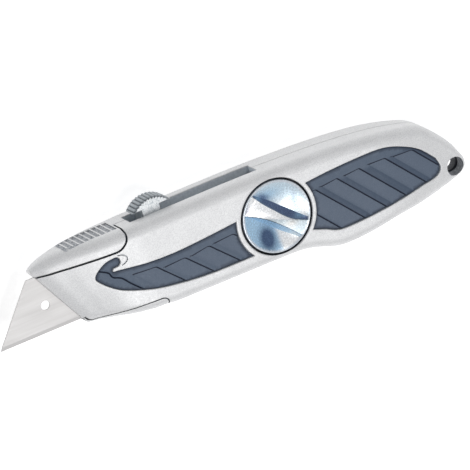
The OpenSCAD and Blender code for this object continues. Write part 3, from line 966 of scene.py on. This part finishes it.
def clamp_knob():
    """The knob; its painted_light attribute holds the colour of each face corner: painted reflections,
    highlights and shade.
    """
    circle = tidy(arc((0, 0), KNOB_R, 0, 360, 180))
    rings = [(circle, [KNOB_BASE] * len(circle)), (circle, [KNOB_RIM - 0.35] * len(circle))]
    for back, down in rounding(RIM_EDGE, (30, 60, 90, 130)):
        rings.append((grow(circle, -back), [KNOB_RIM - down] * len(circle)))
    top, heights = rings.pop()
    rings.append((top, [max(z, knob_height(p)) if knob_zone(p)[0] == "bar" else z
                        for p, z in zip(top, heights)]))
    creases = [dotted(path, 0.35) for path in (BAR_UPPER, BAR_LOWER, BAR_TOP, WALL_UPPER, WALL_LOWER)]
    edge_lines = [dotted(beside(path, side * by), COARSE_STEP) for by in (0.9 * BAR_LINE, 1.3 * BAR_LINE)
                  for path, side in ((BAR_UPPER, -1), (BAR_LOWER, 1))]
    obj = relief("clamp_knob_turned", rings, knob_height, edge_lines, 0.5, creases)
    mesh = obj.data
    painted_light = mesh.attributes.new("painted_light", "FLOAT_COLOR", "CORNER")
    for face in mesh.polygons:
        for i in face.loop_indices:
            corner = mesh.vertices[mesh.loops[i].vertex_index].co.lerp(face.center, 0.1)
            x, y, z = (corner - ORIGIN) / MM
            p = Vector((x, y))
            if p.length < KNOB_R - 0.6:
                colour = painted_knob_light(p)
            # painted highlight on the rim's top, painted shade down the side in the recess
            elif z > KNOB_RIM - 0.4:
                colour = (0.75, 0.8, 0.86)
            else:
                colour = (0.3, 0.35, 0.42)
            painted_light.data[i].color = (*colour, 1)
    shade(obj, 12)
    return obj


# ---- slider button

BUTTON_X, BUTTON_LOW, BUTTON_TOP, BUTTON_W = -38.0, 16.7, 20.2, 3.1
STEM_X, STEM_LOW = (-41.6, -34.4), 8.2
DOME_X, DOME_HALF, DOME_RISE = -37.4, 6.9, BUTTON_TOP - BUTTON_LOW
DOME_R = (DOME_HALF ** 2 + DOME_RISE ** 2) / (2 * DOME_RISE)
DOME_CENTRE = Vector((DOME_X, BUTTON_TOP - DOME_R))
GROOVE_CUT = 0.5
PRESS = 1.0  # how far the button sinks


def button_outline(inset):
    """Side view of the button, with grooves round its dome, drawn in by inset."""
    r = DOME_R - inset
    end = asin((BUTTON_LOW + inset - DOME_CENTRE.y) / r)
    grooves, steps = 12, 12
    dome = []
    for i in range(grooves * steps + 1):
        a = end + (pi - 2 * end) * i / (grooves * steps)
        cut = GROOVE_CUT * (1 - abs(cos(pi * i / steps)) ** 0.7)
        p = DOME_CENTRE + (r - cut) * Vector((cos(a), sin(a)))
        dome.append(Vector((p.x, max(p.y, BUTTON_LOW + inset))))
    x0, x1 = STEM_X[0] + inset, STEM_X[1] - inset
    top, low = BUTTON_LOW + inset - 0.1, STEM_LOW + inset
    return tidy(dome) + [Vector(p) for p in ((x0, top), (x0, low), (x1, low), (x1, top))]


def slider_button():
    """A domed thumb button with grooves across its top, on the stem that fills the slot.

    Its shade_and_tone attribute holds painted shade in the grooves and on the stem, and the flat sides."""
    edge, crown = 0.6, 1.0
    angles = [radians(k) for k in (0, 22, 45, 67, 90)]
    ends = [(edge * (1 - sin(a)), BUTTON_W - crown * (1 - cos(a))) for a in angles]
    levels = [(inset, -z) for inset, z in ends] + ends[::-1]
    outlines = [(button_outline(inset), z) for inset, z in levels]
    obj = stack("slider_button_moulded", [(loop, [z] * len(loop)) for loop, z in outlines])
    pin_y, pin_r = 10.2, 0.9
    slot = tidy(arc((BUTTON_X, pin_y + PRESS), pin_r, 0, 180, 12)
                + arc((BUTTON_X, pin_y), pin_r, 180, 360, 12))
    combine(obj, "DIFFERENCE", [prism("pin_slot", slot, -5, 5)])
    shade_and_tone = obj.data.attributes.new("shade_and_tone", "FLOAT_COLOR", "POINT")
    for i, v in enumerate(obj.data.vertices):
        x, y, z = (v.co - ORIGIN) / MM
        # painted shade: dark in the grooves, and partly dark on the stem below the dome
        sunk = (DOME_R - (Vector((x, y)) - DOME_CENTRE).length) / GROOVE_CUT
        groove_shade = min(max(sunk, 0), 1) if y > BUTTON_LOW + 0.1 else 0.3
        flat = 1.0 if abs(z) > BUTTON_W - 0.05 else 0.0
        shade_and_tone.data[i].color = (groove_shade, flat, 0, 1)
    shade(obj, 28)
    return obj


def button_leaf():
    """The bowed leaf spring under the button, its foot, and how much of its height a press leaves."""
    low, high = ((Vector(corner) - ORIGIN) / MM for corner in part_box("button_spring"))
    middle, half, bow, thick = (low.x + high.x) / 2, (high.x - low.x) / 2, high.y - low.y, 0.3
    outer = smooth([(middle + half * u, low.y + bow * v)
                    for u, v in ((-1, 0), (-0.5, 0.75), (0, 1), (0.5, 0.75), (1, 0))])
    inner = [Vector((middle + 0.9 * (p.x - middle), max(p.y - thick, low.y))) for p in outer[::-1]]
    leaf = prism("button_leaf_spring", tidy(outer + inner), low.z, high.z)
    shade(leaf, 30)
    return leaf, place((middle, low.y, 0)), (bow - PRESS) / bow


# ---- materials

class Finish:
    """A material's node tree, built node by node from object coordinates in metres."""

    def __init__(self, name, roughness, metallic=0.0, **sockets):
        self.material = bpy.data.materials.new(name)
        self.material.use_nodes = True
        self.tree = self.material.node_tree
        self.shader = self.tree.nodes["Principled BSDF"]
        self.set(self.shader, Roughness=roughness, Metallic=metallic, **sockets)
        self.place = self.node("ShaderNodeTexCoord").outputs["Object"]

    def node(self, kind, **settings):
        n = self.tree.nodes.new(kind)
        for key, value in settings.items():
            setattr(n, key, value)
        return n

    def set(self, node, **sockets):
        """Fills a node's sockets with values, or links them to other nodes' outputs."""
        for key, value in sockets.items():
            socket = node.inputs[key.replace("_", " ")]
            if hasattr(value, "is_output"):
                self.tree.links.new(value, socket)
            else:
                socket.default_value = value
        return node

    def noise(self, size, detail=3.0, stretch=None):
        """Noise whose lumps are about size millimetres across."""
        at = self.place
        if stretch:
            at = self.set(self.node("ShaderNodeMapping"), Vector=at, Scale=stretch).outputs[0]
        n = self.set(self.node("ShaderNodeTexNoise"), Vector=at, Scale=1 / (size * MM), Detail=detail)
        return n.outputs["Fac"]

    def ramp(self, value, *stops):
        """A colour or grey ramp through (position, colour) stops."""
        n = self.set(self.node("ShaderNodeValToRGB"), Fac=value)
        while len(n.color_ramp.elements) < len(stops):
            n.color_ramp.elements.new(1.0)
        for element, (position, colour) in zip(n.color_ramp.elements, stops):
            element.position = position
            element.color = (*(colour if isinstance(colour, tuple) else (colour,) * 3), 1)
        return n.outputs["Color"]

    def mix(self, share, a, b, blend="MIX"):
        n = self.node("ShaderNodeMix", data_type="RGBA", blend_type=blend)
        for index, value in ((0, share), (6, a), (7, b)):
            if hasattr(value, "is_output"):
                self.tree.links.new(value, n.inputs[index])
            else:
                n.inputs[index].default_value = (*value, 1) if isinstance(value, tuple) else value
        return n.outputs[2]

    def stored(self, attribute):
        return self.node("ShaderNodeAttribute", attribute_name=attribute).outputs["Color"]

    def channel(self, attribute, which):
        """One channel of a colour stored on the mesh."""
        split = self.set(self.node("ShaderNodeSeparateColor"), Color=self.stored(attribute))
        return split.outputs[which]

    def bump(self, height, strength, distance):
        n = self.set(self.node("ShaderNodeBump"), Height=height, Strength=strength,
                     Distance=distance * MM)
        self.set(self.shader, Normal=n.outputs["Normal"])

    def paint(self, colour, size, smooth, rough, detail=3.0, stretch=None):
        """Links a colour and a roughness that varies between two values, and returns the material."""
        roughness = self.ramp(self.noise(size, detail, stretch), (0.3, smooth), (0.7, rough))
        self.set(self.shader, Base_Color=colour, Roughness=roughness)
        return self.material


def silver_paint(name):
    """Metallic paint with a fine sparkle and faint clouds."""
    coat = Finish(name, 0.5, 0.15)
    grain, cloud = coat.noise(0.32, 2.0), coat.noise(6.0, 3.0)
    colour = coat.ramp(grain, (0.3, (0.62, 0.62, 0.63)), (0.5, (0.78, 0.78, 0.785)),
                       (0.72, (0.93, 0.93, 0.93)))
    colour = coat.mix(0.35, colour, coat.ramp(cloud, (0.3, 0.72), (0.7, 0.84)))
    coat.bump(grain, 0.35, 0.03)
    return coat.paint(colour, 0.5, 0.38, 0.55)


def bare_casting(name, dark, light):
    coat = Finish(name, 0.6, 0.2)
    colour = coat.ramp(coat.noise(0.8, 4.0), (0.3, dark), (0.7, light))
    coat.bump(coat.noise(0.5, 4.0), 0.4, 0.05)
    return coat.paint(colour, 2.0, 0.5, 0.7)


def grip_rubber(name):
    """Blue-grey rubber: lighter pads, a darker band and nearly black painted shade along the edges."""
    coat = Finish(name, 0.62, 0.0, Specular_IOR_Level=0.4)
    grain = coat.noise(0.28, 3.0)
    base = coat.ramp(grain, (0.25, (0.085, 0.115, 0.165)), (0.75, (0.12, 0.155, 0.21)))
    pad = coat.ramp(grain, (0.25, (0.10, 0.13, 0.182)), (0.75, (0.14, 0.175, 0.232)))
    band = coat.ramp(grain, (0.25, (0.055, 0.08, 0.125)), (0.75, (0.08, 0.11, 0.16)))
    colour = coat.mix(coat.channel("shade_and_tone", 1), base, band)
    colour = coat.mix(coat.channel("shade_and_tone", 2), colour, pad)
    # painted shade along the edges
    colour = coat.mix(coat.channel("shade_and_tone", 0), colour, (0.012, 0.017, 0.035))
    coat.bump(grain, 0.35, 0.04)
    return coat.paint(colour, 1.5, 0.55, 0.72)


def zinc_plate(name):
    """The knob's bright plate, coloured by the painted reflections and shade of its painted_light
    attribute, and mottled.
    """
    coat = Finish(name, 0.32, 0.25)
    mottle = coat.ramp(coat.noise(0.45, 5.0), (0.35, 0.7), (0.6, 1.15))
    colour = coat.mix(0.45, coat.stored("painted_light"), mottle, "MULTIPLY")
    coat.bump(coat.noise(1.6, 2.0), 0.1, 0.05)
    return coat.paint(colour, 0.6, 0.16, 0.34)


def plain_metal(name, dark, light, size=0.5):
    coat = Finish(name, 0.25, 0.9)
    grain = coat.noise(size, 4.0)
    coat.bump(grain, 0.2, 0.02)
    return coat.paint(coat.ramp(grain, (0.3, dark), (0.7, light)), size * 4, 0.25, 0.4)


def blade_steel(name):
    """Lengthwise grinding marks, with a faint warm tint."""
    coat = Finish(name, 0.5, 0.3)
    marks = coat.noise(0.6, 4.0, (0.04, 1.0, 1.0))
    colour = coat.ramp(marks, (0.3, (0.6, 0.585, 0.575)), (0.7, (0.65, 0.637, 0.63)))
    coat.bump(marks, 0.06, 0.01)
    return coat.paint(colour, 3.0, 0.45, 0.52, 4.0, (0.2, 1.0, 1.0))


def moulded(name, dark, light):
    coat = Finish(name, 0.45)
    grain = coat.noise(0.3, 4.0)
    coat.bump(grain, 0.3, 0.03)
    return coat.paint(coat.ramp(grain, (0.3, dark), (0.7, light)), 2.0, 0.45, 0.6)


def button_plastic(name):
    """Grey plastic with painted shade in its grooves and on its stem, rubbed bright on its flat sides.
    """
    coat = Finish(name, 0.4)
    grain = coat.noise(0.5, 4.0)
    body = coat.ramp(grain, (0.3, (0.36, 0.4, 0.43)), (0.7, (0.46, 0.5, 0.53)))
    # painted shade for the grooves
    groove = coat.ramp(grain, (0.3, (0.09, 0.105, 0.12)), (0.7, (0.16, 0.18, 0.2)))
    rubbed = coat.ramp(coat.noise(0.4, 5.0), (0.35, (0.55, 0.6, 0.63)), (0.55, (0.92, 0.94, 0.95)))
    colour = coat.mix(coat.channel("shade_and_tone", 0), body, groove)
    colour = coat.mix(coat.channel("shade_and_tone", 1), colour, rubbed)
    coat.bump(grain, 0.3, 0.04)
    return coat.paint(colour, 2.0, 0.32, 0.48)


COATS = {
    "silver_paint": (silver_paint,),
    "grip_rubber": (grip_rubber,),
    "zinc_plate": (zinc_plate,),
    "blade_steel": (blade_steel,),
    "button_grey": (button_plastic,),
    "bright_zinc": (plain_metal, (0.55, 0.6, 0.66), (0.75, 0.8, 0.86)),
    "spring_steel": (plain_metal, (0.45, 0.46, 0.48), (0.62, 0.63, 0.65), 0.4),
    "brass": (plain_metal, (0.6, 0.44, 0.18), (0.78, 0.62, 0.32)),
    "magnet": (plain_metal, (0.2, 0.2, 0.22), (0.32, 0.32, 0.34)),
    "black_nylon": (moulded, (0.02, 0.02, 0.023), (0.045, 0.045, 0.05)),
    "cast_grey": (moulded, (0.26, 0.28, 0.3), (0.38, 0.4, 0.42)),
    "bare_casting": (bare_casting, (0.62, 0.67, 0.72), (0.78, 0.83, 0.88)),
    # Painted shade for the casing: near black in the gaps, the knob's recess and the lanyard hole,
    # mid-grey in notches and grooves.
    "shut_line": (bare_casting, (0.04, 0.045, 0.055), (0.07, 0.075, 0.09)),
    "painted_mid_shade": (bare_casting, (0.24, 0.26, 0.29), (0.58, 0.59, 0.61)),
}
MATERIALS = {name: make(name, *settings) for name, (make, *settings) in COATS.items()}
PAINTED, BARE, SHADED, MID_SHADE = range(4)
CASING_COATS = {PAINTED: "silver_paint", BARE: "bare_casting", SHADED: "shut_line",
                MID_SHADE: "painted_mid_shade"}


def dress(obj, *names):
    obj.data.materials.clear()
    for name in names:
        obj.data.materials.append(MATERIALS[name])


def casing_depth(x, y, z):
    """How far a point lies below the casing's outer surface."""
    t, b, h, r = section(station_of(x, y))
    out_y = abs(y - (t + b) / 2) - ((t - b) / 2 - r)
    out_z = abs(z) - (h - r)
    return r - min(max(out_y, out_z), 0) - hypot(max(out_y, 0), max(out_z, 0))


def casing_coat(x, y, z, normal, shut_lines):
    """The coat of one face: paint outside, bare casting inside, and painted shade in gaps, recess, hole
    and notches.
    """
    depth, p, across_joint = casing_depth(x, y, z), Vector((x, y)), abs(normal.z)
    gap = min((offset_to(line, p) for line in shut_lines), key=lambda v: v.length)
    beside_gap = gap.length < CAP_GAP + 0.05 and 0.03 < depth < SHADE_DEPTH and z > -0.2
    lines_gap = across_joint < 0.6 and abs(gap.dot(normal.xy)) > 0.6 * gap.length * normal.xy.length
    in_hole = depth > 0.3 and (p - BUTT).length < 3.3
    # painted shade on the walls of the shut-line gaps
    if beside_gap and lines_gap:
        return SHADED
    # painted shade in the knob's recess
    if depth > 0.45 and p.length < RECESS_R + 0.1:
        return SHADED
    # painted shade in the lanyard hole, deep in the far half and mid-grey in the near half
    if in_hole:
        return SHADED if z < 0 else MID_SHADE
    # mid-grey painted shade in the nose's notches and in the hook groove
    in_row = NOTCH_FROM < x < CAP_X - 0.1 and abs(z) < NOTCH_REACH - 0.05
    if in_row and 0.06 < top_y(x) - y < 0.9 and across_joint < 0.4:
        return MID_SHADE
    if depth > 0.1 and nearest(HOOK_LINE, p) < 0.3:
        return MID_SHADE
    mating = abs(z) < SEAM and across_joint > 0.7
    return BARE if mating or (depth > 0.45 and x > -56) else PAINTED


def dress_casing(obj):
    shut_lines = [loop + loop[:1] for loop in (cap_outline(), lip_outline())]
    dress(obj, *CASING_COATS.values())
    for face in obj.data.polygons:
        face.material_index = casing_coat(*(face.center - ORIGIN) / MM, face.normal, shut_lines)


# ---- assembly

def hand_over(piece, body, slot, *nodes):
    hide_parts(*nodes)
    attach(piece, body)


near_skin, far_skin = near_casing(), far_casing()
for piece in (near_skin, far_skin):
    dress_casing(piece)
hand_over(near_skin, "near_half", "silver_paint", "near_casing")
hand_over(far_skin, "far_half", "silver_paint", "far_casing")

front = grip("near_front_grip_pad", FRONT_GRIP, FRONT_PADS, GROOVE, -40)
rear = grip("near_rear_grip_pad", REAR_GRIP, REAR_PADS, None, 4.2)
for piece, node in ((front, "front_grip"), (rear, "rear_grip")):
    dress(piece, "grip_rubber")
    other = mirrored(piece)
    other.name = f"far_{node}_pad"
    hand_over(piece, "near_half", "grip_rubber", f"near_{node}")
    hand_over(other, "far_half", "grip_rubber", f"far_{node}")

knob = clamp_knob()
dress(knob, "zinc_plate")
hand_over(knob, "knob", "zinc_plate", "clamp_knob")

button = slider_button()
dress(button, "button_grey")
hand_over(button, "button", "button_grey", "slider_button")

leaf, leaf_foot, pressed = button_leaf()
dress(leaf, "spring_steel")
hand_over(leaf, "carrier", "spring_steel", "button_spring")
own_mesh(leaf)
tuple(leaf_foot)

# The CAD parts that are shown as they are.
CAD_LOOKS = {"knob_stud": "bright_zinc", "knob_washer": "black_nylon", "knob_clip": "spring_steel",
             "threaded_insert": "brass", "blade": "blade_steel", "blade_carrier": "cast_grey",
             "blade_magnet": "magnet", "button_pin": "spring_steel",
             "spare_tray": "black_nylon", "spare_clip": "spring_steel"}
CAD_LOOKS.update({f"spare_blade_{i}": "blade_steel" for i in range(1, 6)})
for node, look in CAD_LOOKS.items():
    dress(frame["nodes"][node], look)


# ---- floor, light and camera

def floor():
    """A plain pale floor that glows a little, so that it stays even."""
    coat = Finish("floor", 0.8, Emission_Color=(1, 1, 1, 1), Emission_Strength=0.62)
    coat.set(coat.shader, Base_Color=coat.ramp(coat.noise(40.0), (0.3, 0.72), (0.7, 0.74)))
    half = 4.0
    mesh = bpy.data.meshes.new("floor")
    mesh.from_pydata([(-half, -half, 0), (half, -half, 0), (half, half, 0), (-half, half, 0)], [],
                     [(0, 1, 2, 3)])
    mesh.materials.append(coat.material)
    return link("floor", mesh)


def area_light(name, stands_at, size, power):
    data = bpy.data.lights.new(name, "AREA")
    data.shape, data.size, data.energy = "DISK", size, power
    lamp = link(name, data)
    lamp.location = stands_at
    lamp.rotation_euler = (-Vector(stands_at)).to_track_quat("-Z", "Y").to_euler()


floor()
scene = bpy.context.scene
scene.world = bpy.data.worlds.new("studio")
scene.world.use_nodes = True
sky = scene.world.node_tree.nodes["Background"]
sky.inputs["Color"].default_value = (0.95, 0.97, 1.0, 1)
sky.inputs["Strength"].default_value = 0.32
scene.view_settings.view_transform = "Standard"
area_light("key", (0.05, -0.35, 1.1), 0.7, 7.2)
area_light("edge", (0.4, 0.5, 0.9), 0.25, 0.7)

# The camera stands far off, so that the view is nearly parallel.
RIGHT, UP = Vector((0.8652, -0.2390, 0.4412)), Vector((0.3628, 0.9053, -0.2194))
TOWARDS = RIGHT.cross(UP).normalized()
VIEW_WIDTH, DISTANCE, SENSOR = 0.148, 4.0, 36.0
AIM_LEFT, AIM_DOWN = 13.0, 6.14
aim = place((0, 0, HALF)) - (AIM_LEFT * RIGHT + AIM_DOWN * UP) * MM
camera_data = bpy.data.cameras.new("camera")
camera_data.sensor_width = SENSOR
camera_data.lens = SENSOR * DISTANCE / VIEW_WIDTH
camera = link("camera", camera_data)
camera.matrix_world = Matrix((RIGHT, UP, TOWARDS)).transposed().to_4x4()
camera.location = aim + TOWARDS * DISTANCE
scene.camera = camera
